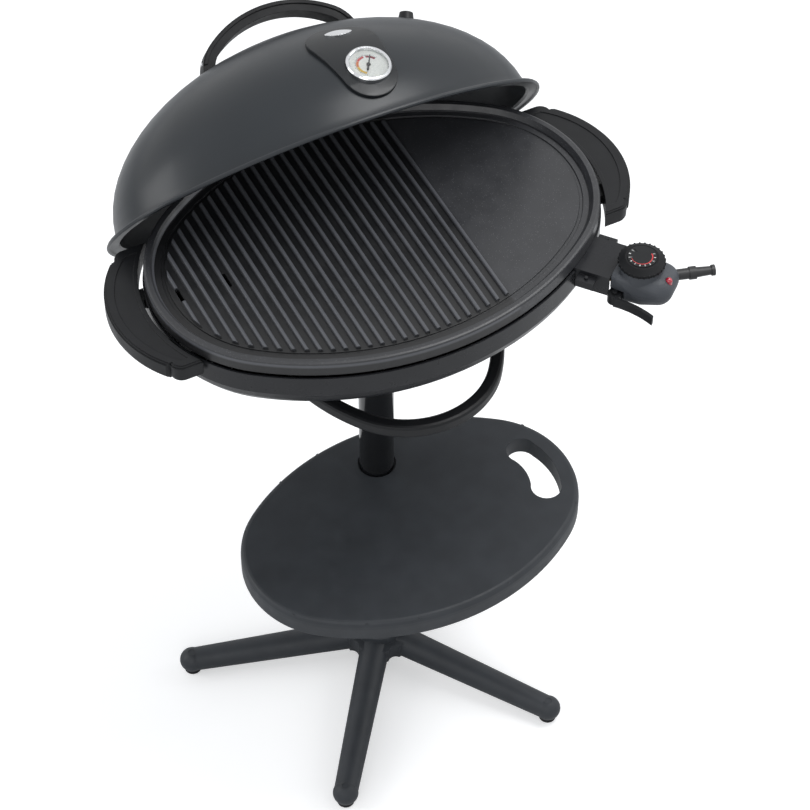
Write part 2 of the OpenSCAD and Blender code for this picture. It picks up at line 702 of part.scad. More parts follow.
module dome_body(in, first = 0) {
    loft([for (j = [first:dome_rows]) dome_row(in, j)]);
}

// A slice of the same dome, between two of its meridians
module dome_slice(in, from, to) {
    loft([for (j = [0:dome_rows]) let (r = dome_row(in, j))
        concat([for (i = [from:to]) r[(i + lid_steps) % lid_steps]], [[0, 0, r[0][2]]])]);
}

// The rolled edge of the lid, from the inside round to the outside, as [distance out, height]
lip_path = [[-2.4, 4.2], [-0.5, 1.8], [lip_w - 4.5, 1.8], [lip_w - 3.5, 0], [lip_w - 1, 0], [lip_w, 1.6], [lip_w, 3.4],
    [lip_w - 1.2, 4.8], [lip_w - 3.5, 5], [6, 3.8], [2, 5.4], [-0.3, 11]];

// One closed skin: up the inside backwards, round the lip, and up the outside
module lid_solid() {
    loft(concat(
        [for (j = [dome_rows:-1:1]) dome_row(lid_wall, j)],
        [for (p = lip_path) lid_ring(p[0], p[1])],
        [for (j = [1:dome_rows]) dome_row(0, j)]));
}

stud_s = arch_a - arch_t / 2;
// Height of the dome's skin at a point of the lid
function dome_z(x, y) =
    let (k = norm([x / dome_a, y / dome_b])) dome_h * sqrt(max(0, 1 - k * k));
arch_y = -6;
stem_x = 35.5;
stem_y = -174;
stem_z = dome_z(stem_x, stem_y);
// Slope of the skin at the thermometer
gauge_tip = atan2(-stem_y / pow(dome_b, 2), stem_z / pow(dome_h, 2));
gauge_side = atan2(stem_x / pow(dome_a, 2), norm([stem_y / pow(dome_b, 2), stem_z / pow(dome_h, 2)]));
module at_gauge() { translate([stem_x, stem_y, stem_z]) rotate([gauge_tip, 0, 0]) rotate([0, gauge_side, 0]) children(); }

vent_x = 143;
vent_y = -46;

module lid_shell() color(satin) lid_pose() difference() {
    lid_solid();
    for (s = [-1, 1]) translate([s * stud_s, arch_y, 0]) cylinder(h = 300, r = screw_r + 0.2);
    at_gauge() translate([0, 0, -12]) cylinder(h = 20, r = 5.2);
}

foot_z = dome_z(stud_s, arch_y) - 1.5;

module lid_handle() color(black) lid_pose() translate([0, arch_y, 0]) difference() {
    union() {
        translate([0, arch_w / 2, 0]) rotate([90, 0, 0]) linear_extrude(arch_w) intersection() {
            translate([0, dome_h - 24]) difference() {
                oval(arch_a, arch_b);
                oval(arch_a, arch_b, -arch_t);
            }
            translate([-arch_a - 1, foot_z - 6]) square([2 * arch_a + 2, 200]);
        }
        // A lip along the outer edge of the front
        translate([0, -arch_w / 2 + 0.05, 0]) rotate([90, 0, 0]) linear_extrude(2) intersection() {
            translate([0, dome_h - 24]) difference() {
                oval(arch_a, arch_b, -1);
                oval(arch_a, arch_b, -5);
            }
            translate([-arch_a - 1, foot_z + 8]) square([2 * arch_a + 2, 200]);
        }
    }
    translate([0, -arch_y, 0.15]) dome_body(0, 11);
    translate([0, -arch_y, 0]) for (s = [-1, 1]) translate([s * stud_s, arch_y, 100]) cylinder(h = foot_z - 100 + 16, r = screw_r + touch);
}

module lid_handle_screws() color(steel) lid_pose() for (s = [-1, 1])
    translate([s * stud_s, arch_y, dome_inside_z]) screw(16);
dome_inside_z = (dome_h - lid_wall) * sqrt(1 - pow((stud_s + 4) / (dome_a - lid_wall), 2)) - 0.4;

// A low cap on the far side of the dome
module vent_cap() color(black) lid_pose() translate([vent_x, vent_y, 0]) difference() {
    translate([0, 0, dome_z(vent_x, vent_y) - 6]) rotate([0, 26, 0]) cylinder(h = 13, r1 = 10, r2 = 8);
    translate([-vent_x, -vent_y, 0.15]) dome_slice(0, -9, 1);
}

panel_h = 4.5;
bezel_r = 26;
// The badge lies higher up the slope, where the skin is flatter
badge_at = [-4, 66, -9.3];
badge_tip = -23;
badge_turn = -9;

// Raised drop-shaped panel that frames the thermometer and the badge
module thermometer_panel() color("#303338") lid_pose() difference() {
    intersection() {
        at_gauge() translate([0, 0, -32]) linear_extrude(52) hull() {
            translate([-3, -9]) circle(32);
            translate([6, 50]) circle(28);
            translate([-17, 55]) circle(29);
        }
        dome_slice(-panel_h, 38, 60);
    }
    translate([0, 0, 0.15]) dome_slice(0, 37, 61);
    translate([-300, -300, -50]) cube([600, 600, 56]);
    at_gauge() translate([0, 0, -30]) cylinder(h = 32, r = 5.2);
    at_gauge() translate([0, 0, 1.5]) cylinder(h = 30, r = bezel_r + touch);
    badge_form(touch);
}

module badge_form(grow) at_gauge() translate(badge_at) rotate([badge_tip, 0, 0]) rotate(badge_turn)
    translate([0, 0, -1.6 - grow]) linear_extrude(2.6 + 10 * grow) oval(16, 6.5, grow);

module lid_badge() color(steel) lid_pose() badge_form(0);

module thermometer_bezel() color(steel) lid_pose() at_gauge() translate([0, 0, 1.55]) rotate_extrude()
    polygon([[0, 0], [bezel_r, 0], [bezel_r, 5], [bezel_r - 1.2, 6.6], [bezel_r - 3, 7], [bezel_r - 4, 6],
        [bezel_r - 4, 1.2], [0, 1.2]]);

module thermometer_dial() color("#e9e9e6") lid_pose() at_gauge() translate([0, 0, 2.8]) difference() {
    cylinder(h = 0.8, r = bezel_r - 4.05);
    translate([0, 0, -1]) cylinder(h = 3, r = 1.1);
}

// The pointer turns on its own short pin
module thermometer_pointer() color("#18181a") lid_pose() at_gauge() {
    translate([0, 0, 4.2]) rotate(-32) linear_extrude(0.6) polygon([[-1.2, -9], [1.2, -9], [0.5, 15], [-0.5, 15]]);
    translate([0, 0, 2.85]) cylinder(h = 1.95, r = 1);
    translate([0, 0, 4.2]) cylinder(h = 0.9, r = 2.4);
}

module thermometer_glass() color([0.8, 0.85, 0.88, 0.35]) lid_pose() at_gauge() translate([0, 0, 6.2])
    cylinder(h = 0.9, r = bezel_r - 4.05);

module thermometer_stem() color(steel) lid_pose() at_gauge() translate([0, 0, -34]) {
    cylinder(h = 35.5, r = 2.6);
    translate([0, 0, 18]) cylinder(h = 17.5, r = 4.8);
}

module stem_nut() color(steel) lid_pose() at_gauge() translate([0, 0, -8.5]) difference() {
    cylinder(h = 4, r = 9.5, $fn = 6);
    translate([0, 0, -1]) cylinder(h = 6, r = 4.8 + touch);
}

// The stop behind the bowl that the parked lid leans on
rest_w = 12;
rest_x = 60;
rest_bolt_y = 108;
rest_tip = [lid_seat_y + (lid_rear - 6) * cos(lid_lean) - 3.5 * sin(lid_lean),
    lid_seat_z - (lid_rear - 6) * sin(lid_lean) - 3.5 * cos(lid_lean)];

module lid_rest() color(black) difference() {
    union() {
        for (s = [-1, 1]) translate([s * rest_x - rest_w / 2, 0, 0]) rotate([90, 0, 90]) linear_extrude(rest_w) polygon([
            [98, bowl_z - 5], [98, bowl_z - touch], [130, bowl_z - touch], [170, bowl_z - 5], [rest_tip[0] + 0.5, rest_tip[1] + 4],
            [rest_tip[0] - 3, rest_tip[1] - 4], [165, bowl_z - 11], [128, bowl_z - 5]]);
        // A curved trough that takes the rear of the lid's lip
        lid_pose() translate([0, -4 * oval_t(dome_a, dome_b), 0]) rotate(90 - 12)
            rotate_extrude(angle = 24, $fn = 192) translate([side_r(dome_a, dome_b) + lip_w, 0])
                polygon([[-13, -5], [-13, -fit], [fit, -fit], [fit, 9], [4, 9], [4, -5]]);
    }
    for (s = [-1, 1]) translate([s * rest_x, rest_bolt_y, bowl_z - 8]) cylinder(h = 9, r = screw_r + 0.2);
}

module lid_rest_screws() color(steel) for (s = [-1, 1]) translate([s * rest_x, rest_bolt_y, bowl_z - 5 - touch]) screw(7.3);

// ---- thermostat ----

plug_s = socket_reach;
plug_low = guard_top - 32;
plug_split = guard_top - 15;
plug_top = guard_top + 5;
knob_z = plug_top + 7;

module at_plug() { at_socket(0) translate([plug_s, 0, 0]) children(); }

module plug_form() {
    hull() {
        translate([0.5, 0, plug_low + 2]) post_x(1, guard_w - 4, plug_top - plug_low - 4, 6);
        translate([8, 0, 0]) for (y = [-plug_half_w + 9, plug_half_w - 9]) {
            translate([0, y, plug_top - 7]) sphere(7, $fn = 28);
            translate([0, y, plug_low + 7]) sphere(7, $fn = 28);
        }
        for (y = [-1, 1]) translate([knob_s + 8, y * (plug_half_w - 12), plug_low + 12]) sphere(12, $fn = 28);
        translate([plug_len - 24, 0, plug_low + 15]) sphere(14, $fn = 32);
        for (y = [-1, 1]) translate([plug_len - 27, y * 9, plug_top - 19]) sphere(18, $fn = 32);
    }
}

// A slab with round edges that stands across the plug
module post_x(x, y, z, r) {
    rotate([90, 0, 90]) linear_extrude(x) {
        translate([-y / 2 + r, 0]) square([y - 2 * r, z]);
        translate([-y / 2, r]) square([y, z - 2 * r]);
        for (i = [-1, 1], j = [r, z - r]) translate([i * (y / 2 - r), j]) circle(r, $fn = 24);
    }
}

lamp_s = 62;
lamp_y = -5;
sleeve_turn = 33.7;
lever_s = 8;
lever_y = -plug_half_w - 1;
lever_z = plug_low + 3;

module plug_cuts() {
    // Bores for the knob's spindle and the lamp, and room for the sleeve
    translate([knob_s, 0, plug_split + 4]) cylinder(h = 40, r = 4 + 0.06);
    translate([lamp_s, lamp_y, plug_split + 4]) cylinder(h = 40, r = 4.1);
    translate([knob_s + 29, 18, plug_split - 1]) rotate(sleeve_turn) rotate([0, 90, 0]) cylinder(h = 60, r = 6.5);
    for (y = [-term_y, term_y]) translate([-1, y, term_z]) rotate([0, 90, 0]) cylinder(h = 22, r = 5);
    translate([-1, 0, term_z]) rotate([0, 90, 0]) cylinder(h = 22, r = 3.1);
    // Notch for the release lever
    translate([lever_s, lever_y, lever_z - 2]) cylinder(h = 17, r = 10);
}

module thermostat_top() color(satin) at_plug() difference() {
    union() {
        intersection() {
            plug_form();
            translate([-10, -60, plug_split]) cube([120, 120, 60]);
        }
        translate([knob_s, 0, plug_top - 8]) cylinder(h = 14.5, r1 = knob_r + 0.2, r2 = knob_r - 2.5);
    }
    plug_cuts();
}

module thermostat_base() color(satin) at_plug() difference() {
    intersection() {
        plug_form();
        translate([-10, -60, plug_split - 60 - touch]) cube([120, 120, 60]);
    }
    plug_cuts();
    for (p = plug_bolts) translate([p[0], p[1], plug_low - 5]) cylinder(h = 9, r = head_r + 0.4);
    for (p = plug_bolts) translate([p[0], p[1], plug_low - 5]) cylinder(h = 40, r = screw_r + touch);
}
plug_bolts = [[40, -16], [46, 12]];

module thermostat_screws() color(steel) at_plug() for (p = plug_bolts)
    translate([p[0], p[1], plug_low + 4 - touch]) screw(plug_split - plug_low - 4);

probe_len = 96;
module sensor_probe() color(steel) at_plug() translate([20, 0, term_z]) rotate([0, -90, 0]) {
    cylinder(h = probe_len, r = 3);
    translate([0, 0, probe_len]) sphere(3);
}

module contact_sleeves() color("#b08d57") at_plug() for (y = [-term_y, term_y])
    translate([20, y, term_z]) rotate([0, -90, 0]) difference() {
        cylinder(h = 34, r = 4.6);
        translate([0, 0, 12]) cylinder(h = 30, r = 2.56);
    }

module temperature_knob() color(black) at_plug() translate([knob_s, 0, 0]) difference() {
    union() {
        translate([0, 0, knob_z - 0.3]) cylinder(h = 3.3, r = knob_r);
        translate([0, 0, knob_z + 3]) cylinder(h = 5, r1 = knob_r, r2 = knob_disc_r + 2.5);
        translate([0, 0, knob_z - 17]) cylinder(h = 18, r = 4);
        for (i = [0:27]) rotate(i * 360 / 28) translate([knob_r - 0.2, 0, knob_z - 0.3]) cylinder(h = 3.8, r = 1, $fn = 16);
    }
    translate([0, 0, knob_z + 7]) cylinder(h = 5, r = knob_disc_r + touch);
}

module knob_disc() color("#1a1a1c") at_plug() translate([knob_s, 0, knob_z + 7]) difference() {
    cylinder(h = 1.6, r = knob_disc_r);
    rotate(150) translate([knob_disc_r - 4.5, 0, 1.1]) post(6, 1.2, 2, 0.5);
}

module pilot_lens() color("#c3122b") at_plug() translate([lamp_s, lamp_y, 0]) {
    translate([0, 0, plug_split + 4]) cylinder(h = lamp_top - plug_split - 4, r = 4);
    translate([0, 0, lamp_top]) sphere(4);
}
lamp_top = plug_top - 4.5;

module cord_sleeve() color(black) at_plug() translate([knob_s + 29, 18, plug_split - 1]) rotate(sleeve_turn) rotate([0, 90, 0])
    difference() {
        union() {
            cylinder(h = 24, r = 6.4);
            translate([0, 0, 22]) cylinder(h = 8, r = 7.6);
            translate([0, 0, 29]) cylinder(h = 20, r1 = 6, r2 = 5);
            translate([0, 0, 48]) cylinder(h = 4, r = 6.4);
        }
        translate([0, 0, 6]) cylinder(h = 60, r = 3.4);
    }

// The curved lever beside the thermostat; squeezed towards the body, it pushes the plug off
module release_lever() color(black) at_plug() translate([lever_s, lever_y, lever_z]) difference() {
    union() {
        cylinder(h = 12, r = 8);
        linear_extrude(12) intersection() {
            translate([6, -118]) difference() { circle(112.5, $fn = 128); circle(108.5, $fn = 128); }
            translate([2, -60]) square([50, 62]);
        }
    }
    translate([0, 0, -1]) cylinder(h = 20, r = 3 + 0.05);
}

module lever_pin() color(steel) at_plug() translate([lever_s, lever_y, lever_z - 2]) cylinder(h = 17, r = 3);

foot_star();
foot_pads();
column_bolt();
lower_tube();
upper_tube();
shelf_bracket();
bracket_screws();
shelf();
shelf_screws();
head_socket();
socket_screws();
bowl();
table_ring();
ring_screws();
handle_left();
handle_right();
handle_screws();
drip_tray();
heat_reflector();
plate_rests();
grill_plate();
heating_element();
element_clips();
terminal_block();
terminal_pins();
socket_guard();
guard_screws();
lid_rest();
lid_rest_screws();
lid_shell();
lid_handle();
lid_handle_screws();
vent_cap();
thermometer_panel();
lid_badge();
thermometer_bezel();
thermometer_dial();
thermometer_pointer();
thermometer_glass();
thermometer_stem();
stem_nut();
thermostat_top();
thermostat_base();
thermostat_screws();
sensor_probe();
contact_sleeves();
temperature_knob();
knob_disc();
pilot_lens();
release_lever();
lever_pin();
cord_sleeve();
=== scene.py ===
"""Looks of the stand grill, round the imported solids: materials, print, smooth skins, light and camera."""
import json
import math
import bmesh
import bpy
from mathutils import Matrix, Vector


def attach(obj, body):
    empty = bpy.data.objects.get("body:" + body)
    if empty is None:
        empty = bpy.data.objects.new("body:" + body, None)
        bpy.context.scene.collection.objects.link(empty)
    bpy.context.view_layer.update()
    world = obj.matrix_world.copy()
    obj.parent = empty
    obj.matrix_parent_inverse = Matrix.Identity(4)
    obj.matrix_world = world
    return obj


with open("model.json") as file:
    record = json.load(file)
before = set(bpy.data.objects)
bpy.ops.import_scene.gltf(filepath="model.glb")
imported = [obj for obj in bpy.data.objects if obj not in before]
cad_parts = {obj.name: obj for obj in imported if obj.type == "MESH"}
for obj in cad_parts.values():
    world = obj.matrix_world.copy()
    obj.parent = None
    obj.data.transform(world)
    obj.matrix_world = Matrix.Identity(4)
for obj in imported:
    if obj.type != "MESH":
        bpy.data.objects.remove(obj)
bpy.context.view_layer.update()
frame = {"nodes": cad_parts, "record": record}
nodes = frame["nodes"]

MM = 0.001

# ---- measures repeated from the solids, in millimetres and radians ----

LID_SEAT = Vector((0, 125.5, 777.4))
LID_LEAN = math.radians(-57.6)
DOME_A, DOME_B, DOME_H = 259, 190, 164
STEM_X, STEM_Y = 35.5, -174
SOCKET_TURN = math.radians(-50)
SOCKET_OFF = 74
SOCKET_REACH = 268
GUARD_TOP = 781.5
KNOB_S = 27
KNOB_Z = GUARD_TOP + 5 + 7
DISC_TOP = KNOB_Z + 8.6


# ---- materials ----

def shade(name, rgb, rough, metallic=0.0, coat=0.0, coat_rough=0.1, grain=0.0006, bump=0.15,
          depth=0.00008, mottle=0.12, blotch=0.03, rough_var=0.06, speck=None, bevel=0.0,
          specular=0.5, stretch=None, trans=0.0, ior=1.5, rib_painted_light=None):
    """A finish with uneven tone and gloss, and a fine grain; lengths are in metres.
    speck = (size, share, colour) scatters light flakes.
    The painted rib light (low, high, rim, x) paints shade into the grooves left of x and paints a highlight
    onto the rib tops, below the rim."""
    m = bpy.data.materials.new(name)
    m.use_nodes = True
    nt = m.node_tree
    nt.nodes.clear()
    out = nt.nodes.new("ShaderNodeOutputMaterial")
    b = nt.nodes.new("ShaderNodeBsdfPrincipled")
    nt.links.new(b.outputs[0], out.inputs[0])
    co = nt.nodes.new("ShaderNodeTexCoord").outputs["Object"]
    if stretch:
        mp = nt.nodes.new("ShaderNodeMapping")
        mp.inputs["Scale"].default_value = stretch
        nt.links.new(co, mp.inputs["Vector"])
        co_fine = mp.outputs[0]
    else:
        co_fine = co
    def noise(size, detail=3, rough=0.55, fine=True):
        n = nt.nodes.new("ShaderNodeTexNoise")
        n.inputs["Scale"].default_value = 1 / size
        n.inputs["Detail"].default_value = detail
        n.inputs["Roughness"].default_value = rough
        nt.links.new(co_fine if fine else co, n.inputs["Vector"])
        return n.outputs["Fac"]
    def ranged(fac, lo, hi):
        r = nt.nodes.new("ShaderNodeMapRange")
        r.inputs["From Min"].default_value = 0.3
        r.inputs["From Max"].default_value = 0.7
        r.inputs["To Min"].default_value = lo
        r.inputs["To Max"].default_value = hi
        nt.links.new(fac, r.inputs["Value"])
        return r.outputs[0]
    def mix(fac, a, c, kind="MIX"):
        x = nt.nodes.new("ShaderNodeMix")
        x.data_type = "RGBA"
        x.blend_type = kind
        for sock, v in ((x.inputs[0], fac), (x.inputs[6], a), (x.inputs[7], c)):
            if hasattr(v, "is_linked"):
                nt.links.new(v, sock)
            else:
                sock.default_value = v
        return x.outputs[2]
    dark = [max(0.0, c * (1 - mottle)) for c in rgb] + [1]
    light = [min(1.0, c * (1 + mottle)) for c in rgb] + [1]
    tone = mix(ranged(noise(blotch, 2, 0.5, False), 0.0, 1.0), dark, light)
    fine = noise(grain, 2, 0.6)
    tone = mix(ranged(fine, 0.0, 0.35), tone, [c * 0.7 for c in rgb] + [1])
    if speck:
        size, amount, srgb = speck
        v = nt.nodes.new("ShaderNodeTexVoronoi")
        v.inputs["Scale"].default_value = 1 / size
        nt.links.new(co, v.inputs["Vector"])
        lim = nt.nodes.new("ShaderNodeMath")
        lim.operation = "LESS_THAN"
        nt.links.new(v.outputs["Distance"], lim.inputs[0])
        lim.inputs[1].default_value = 0.18
        sel = nt.nodes.new("ShaderNodeMath")
        sel.operation = "GREATER_THAN"
        w = nt.nodes.new("ShaderNodeTexWhiteNoise")
        nt.links.new(v.outputs["Position"], w.inputs["Vector"])
        nt.links.new(w.outputs["Value"], sel.inputs[0])
        sel.inputs[1].default_value = 1 - amount
        both = nt.nodes.new("ShaderNodeMath")
        both.operation = "MULTIPLY"
        nt.links.new(lim.outputs[0], both.inputs[0])
        nt.links.new(sel.outputs[0], both.inputs[1])
        tone = mix(both.outputs[0], tone, list(srgb) + [1])
    if rib_painted_light:
        low_z, high_z, rim_z, edge_x = rib_painted_light
        xyz = nt.nodes.new("ShaderNodeSeparateXYZ")
        nt.links.new(co, xyz.inputs[0])
        def between(value, lo, hi, to_lo, to_hi):
            r = nt.nodes.new("ShaderNodeMapRange")
            for key, v in (("From Min", lo), ("From Max", hi), ("To Min", to_lo), ("To Max", to_hi)):
                r.inputs[key].default_value = v
            nt.links.new(value, r.inputs["Value"])
            return r.outputs[0]
        left = between(xyz.outputs["X"], edge_x - 0.003, edge_x, 1.0, 0.0)
        height = between(xyz.outputs["Z"], low_z, high_z, 0.0, 1.0)
        # Painted light by height: shade painted into the grooves at 0.3 of the colour, and a highlight painted
        # on the rib tops at 2.6 times it
        painted_rib_tone = mix(height, [c * 0.3 for c in rgb] + [1], [min(1, c * 2.6) for c in rgb] + [1])
        rim = between(xyz.outputs["Z"], rim_z, rim_z + 0.0008, 0.0, 1.0)
        tone = mix(left, tone, mix(rim, painted_rib_tone, tone))
    nt.links.new(tone, b.inputs["Base Color"])
    gloss = ranged(noise(blotch * 0.7, 3, 0.6, False), max(0.02, rough - rough_var), min(1, rough + rough_var))
    nt.links.new(gloss, b.inputs["Roughness"])
    b.inputs["Metallic"].default_value = metallic
    b.inputs["Specular IOR Level"].default_value = specular
    b.inputs["Coat Weight"].default_value = coat
    b.inputs["Coat Roughness"].default_value = coat_rough
    b.inputs["Transmission Weight"].default_value = trans
    b.inputs["IOR"].default_value = ior
    bm = nt.nodes.new("ShaderNodeBump")
    bm.inputs["Strength"].default_value = bump
    bm.inputs["Distance"].default_value = depth
    nt.links.new(fine, bm.inputs["Height"])
    if bevel:
        bv = nt.nodes.new("ShaderNodeBevel")
        bv.samples = 4
        bv.inputs["Radius"].default_value = bevel
        nt.links.new(bv.outputs[0], bm.inputs["Normal"])
    nt.links.new(bm.outputs[0], b.inputs["Normal"])
    return m


def srgb(h):
    v = [int(h[i:i + 2], 16) / 255 for i in (1, 3, 5)]
    return [c / 12.92 if c <= 0.04045 else ((c + 0.055) / 1.055) ** 2.4 for c in v]


ENAMEL = {"coat_rough": 0.2, "grain": 0.0007, "bump": 0.16, "depth": 0.00006, "mottle": 0.06, "blotch": 0.08,
          "rough_var": 0.04, "specular": 0.33}
PLASTIC = {"grain": 0.0007, "bump": 0.35, "depth": 0.00012, "bevel": 0.0012, "specular": 0.3}
MOULDED = {"grain": 0.0006, "bump": 0.25, "depth": 0.0001, "bevel": 0.001}
# Groove floor, rib top and rim heights and the edge in x, in metres, for the plate's painted groove shade and
# painted rib-top highlight
RIB_PAINTED_LIGHT = (0.7922, 0.7948, 0.797, 0.0925)

M = {
    "satin_plastic": shade("satin_plastic", srgb("#34373b"), 0.5, **PLASTIC),
    "rubber_foot": shade("rubber_foot", srgb("#1b1b1d"), 0.75, grain=0.0009, bump=0.3, specular=0.3),
    "gloss_tube": shade("gloss_tube", srgb("#17181a"), 0.16, coat=0.6, coat_rough=0.06, grain=0.0015,
                        bump=0.05, rough_var=0.04),
    "black_plastic": shade("black_plastic", srgb("#1d1e20"), 0.4, specular=0.22, **MOULDED),
    "cord_rubber": shade("cord_rubber", srgb("#1d1e20"), 0.5, grain=0.0006, bump=0.3),
    "bowl_enamel": shade("bowl_enamel", srgb("#222326"), 0.3, coat=0.06, coat_rough=0.15, grain=0.0012,
                         bump=0.12, bevel=0.0008, specular=0.25),
    "lid_enamel": shade("lid_enamel", srgb("#25292d"), 0.34, coat=0.04, **ENAMEL),
    # The plate's grooves get painted shade and its rib tops a painted highlight
    "nonstick": shade("nonstick", srgb("#303134"), 0.4, grain=0.0011, bump=0.4, depth=0.00016,
                      speck=(0.0016, 0.3, srgb("#6d6e71")), bevel=0.0008, rib_painted_light=RIB_PAINTED_LIGHT),
    "tray_metal": shade("tray_metal", srgb("#b9bbbe"), 0.3, metallic=1.0, grain=0.0008, bump=0.15,
                        stretch=(1, 12, 12)),
    "ceramic_block": shade("ceramic_block", srgb("#ddd7ca"), 0.6, grain=0.0006, bump=0.3),
    "brass_sleeve": shade("brass_sleeve", srgb("#c9a45c"), 0.28, metallic=1.0, grain=0.0005, bump=0.1),
    "chrome_trim": shade("chrome_trim", srgb("#d9dbde"), 0.12, metallic=1.0, grain=0.0006, bump=0.04,
                         mottle=0.04, rough_var=0.03, bevel=0.0003),
    "dial_white": shade("dial_white", srgb("#e6e6e1"), 0.4, grain=0.0004, bump=0.05, mottle=0.02),
    "pointer_black": shade("pointer_black", srgb("#141415"), 0.35, grain=0.0004, bump=0.05),
    "red_lens": shade("red_lens", srgb("#b01030"), 0.12, coat=0.8, coat_rough=0.04, grain=0.0006, bump=0.03),
    "element_steel": shade("element_steel", srgb("#6b6660"), 0.45, metallic=1.0, grain=0.0008, bump=0.2,
                           mottle=0.25),
    "steel_screw": shade("steel_screw", srgb("#b4b6b9"), 0.3, metallic=1.0, grain=0.0004, bump=0.08),
    "clear_glass": shade("clear_glass", (0.95, 0.97, 0.98), 0.04, grain=0.002, bump=0.01, mottle=0.01,
                         rough_var=0.01, trans=1.0, ior=1.45),
}

slots = {s["node"]: s["material_slot"] for s in frame["record"]["subparts"]}
dull_black = shade("dull_black", srgb("#151618"), 0.46, specular=0.15, **MOULDED)
own = {
    "thermometer_panel": shade("panel_enamel", srgb("#1b1e21"), 0.3, coat=0.05, bevel=0.002, **ENAMEL),
    "thermostat_top": shade("housing_plastic", srgb("#46494e"), 0.5, **PLASTIC),
    "lid_handle": dull_black,
    "temperature_knob": dull_black,
    "guard_screws": M["bowl_enamel"],
    "lever_pin": M["black_plastic"],
}
own["thermostat_base"] = own["thermostat_top"]
for name, obj in nodes.items():
    obj.data.materials.clear()
    obj.data.materials.append(own.get(name, M[slots[name]]))


# ---- helpers ----

def even_shading(obj, angle):
    """Shades a skin smoothly across its facets, but keeps every edge sharper than the angle."""
    g = bpy.data.node_groups.new("even_shading", "GeometryNodeTree")
    g.interface.new_socket("Geometry", in_out="INPUT", socket_type="NodeSocketGeometry")
    g.interface.new_socket("Geometry", in_out="OUTPUT", socket_type="NodeSocketGeometry")
    a, z = g.nodes.new("NodeGroupInput"), g.nodes.new("NodeGroupOutput")
    weld = g.nodes.new("GeometryNodeMergeByDistance")
    weld.inputs["Distance"].default_value = 0.00002
    crease = g.nodes.new("GeometryNodeSetMeshNormal")
    crease.mode = "SHARPNESS"
    edge = g.nodes.new("GeometryNodeInputMeshEdgeAngle")
    over = g.nodes.new("FunctionNodeCompare")
    over.operation = "GREATER_THAN"
    over.inputs[1].default_value = math.radians(angle)
    g.links.new(a.outputs[0], weld.inputs["Geometry"])
    g.links.new(weld.outputs[0], crease.inputs["Mesh"])
    g.links.new(edge.outputs["Unsigned Angle"], over.inputs[0])
    g.links.new(over.outputs[0], crease.inputs["Edge Sharpness"])
    crease.inputs["Remove Custom"].default_value = True
    crease.inputs["Face Sharpness"].default_value = False
    g.links.new(crease.outputs[0], z.inputs[0])
    obj.modifiers.new("even_shading", "NODES").node_group = g


SMOOTH_BELOW = 28
for name in ("lid_shell", "thermometer_panel"):
    even_shading(nodes[name], SMOOTH_BELOW)


def at_socket(s, y, z):
    """A point s along the socket's line and y beside it, in the row frame."""
    r = SOCKET_OFF + y
    c, n = math.cos(SOCKET_TURN), math.sin(SOCKET_TURN)
    return Vector((s * c - r * n, s * n + r * c, z))


def new_object(name, bm, mat, body, smooth=None):
    me = bpy.data.meshes.new(name)
    bmesh.ops.recalc_face_normals(bm, faces=bm.faces)
    bm.to_mesh(me)
    bm.free()
    ob = bpy.data.objects.new(name, me)
    bpy.context.scene.collection.objects.link(ob)
    me.materials.append(mat)
    if smooth is not None:
        for p in me.polygons:
            p.use_smooth = True
        me.set_sharp_from_angle(angle=math.radians(smooth))
    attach(ob, body)
    return ob


def gauge_matrix():
    """From the thermometer's own axes, with z out of the dial, to the row frame."""
    k = math.hypot(STEM_X / DOME_A, STEM_Y / DOME_B)
    z = DOME_H * math.sqrt(1 - k * k)
    tip = math.atan2(-STEM_Y / DOME_B ** 2, z / DOME_H ** 2)
    side = math.atan2(STEM_X / DOME_A ** 2, math.hypot(STEM_Y / DOME_B ** 2, z / DOME_H ** 2))
    return (Matrix.Translation(LID_SEAT) @ Matrix.Rotation(LID_LEAN, 4, "X")
            @ Matrix.Translation((STEM_X, STEM_Y, z))
            @ Matrix.Rotation(tip, 4, "X") @ Matrix.Rotation(side, 4, "Y"))


def skin_rows(bm, rows):
    """Closes a run of four-cornered rows into a solid strip."""
    for u, v in zip(rows, rows[1:]):
        for i in range(4):
            bm.faces.new((u[i], u[(i + 1) % 4], v[(i + 1) % 4], v[i]))
    bm.faces.new(rows[0][::-1])
    bm.faces.new(rows[-1])


def ring_sector(bm, r0, r1, a0, a1, z, thick, steps=None):
    """A flat curved strip from angle a0 to a1, in degrees, with its top at z + thick."""
    n = steps or max(2, int(abs(a1 - a0) / 4))
    rows = []
    for i in range(n + 1):
        a = math.radians(a0 + (a1 - a0) * i / n)
        c, q = math.cos(a), math.sin(a)
        corners = ((r0, z), (r1, z), (r1, z + thick), (r0, z + thick))
        rows.append([bm.verts.new((r * c, r * q, h)) for r, h in corners])
    skin_rows(bm, rows)


def placed(bm, matrix):
    bmesh.ops.transform(bm, matrix=Matrix.Scale(MM, 4) @ matrix, verts=bm.verts)
    return bm


PRINT_COLOURS = {
    "print_yellow": "#e3b72c",
    "print_orange": "#d9763a",
    "print_red": "#c8353a",
    "print_dark_red": "#8f1f33",
    "print_black": "#1c1c1e",
    "print_white": "#d7d7d5",
}
PRINT = {name: shade(name, srgb(colour), 0.5, grain=0.0004, bump=0.05, mottle=0.05)
         for name, colour in PRINT_COLOURS.items()}

